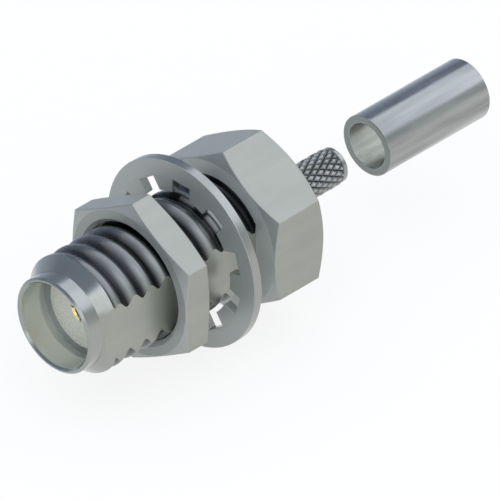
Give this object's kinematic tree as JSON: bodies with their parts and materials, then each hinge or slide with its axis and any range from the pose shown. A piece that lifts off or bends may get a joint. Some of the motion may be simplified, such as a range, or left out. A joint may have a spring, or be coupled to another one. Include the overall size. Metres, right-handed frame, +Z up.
{
  "type": "sma connector",
  "caption": "Coaxial bulkhead jack with a threaded barrel, D flat, hexagonal flange, lock washer and nut, and a knurled crimp stem with its loose ferrule.",
  "frame": {"origin": "centre of the panel seat, the front face of the hexagonal flange", "axes": "+Y along the connector from its socket to its cable end, +Z up, +X out of the barrel's flat"},
  "size_m": [0.0102, 0.0289, 0.0102],
  "materials": {
    "body_metal": "satin nickel plate",
    "nut_metal": "satin nickel plate",
    "washer_metal": "stamped, nickel plate",
    "stem_metal": "knurled, nickel plate",
    "ferrule_metal": "drawn tube, nickel plate",
    "contact_gold": "gold plate",
    "insulator_white": "machined fluoropolymer"
  },
  "bodies": {
    "root": {"connector_body": "body_metal", "front_insulator": "insulator_white", "rear_insulator": "insulator_white", "centre_contact": "contact_gold", "crimp_stem": "stem_metal"},
    "lock_washer": {"lock_washer": "washer_metal"},
    "hex_nut": {"hex_nut": "nut_metal"},
    "crimp_ferrule": {"crimp_ferrule": "ferrule_metal"}
  },
  "joints": [
    {"name": "nut_travel", "type": "slide", "parent": "root", "child": "lock_washer", "axis": [0, 1, 0], "range_m": [-0.00536, 0.00205]},
    {"name": "nut_turn", "type": "hinge", "parent": "lock_washer", "child": "hex_nut", "pos_m": [0, -0.00532, 0], "axis": [0, 1, 0], "range_deg": [-1771, 678]},
    {"name": "ferrule_slide", "type": "slide", "parent": "root", "child": "crimp_ferrule", "axis": [0, -1, 0], "range_m": [0, 0.00704]}
  ],
  "couplings": [
    {"joint": "nut_turn", "follows": "nut_travel", "rad_per_m": 5764.4}
  ]
}
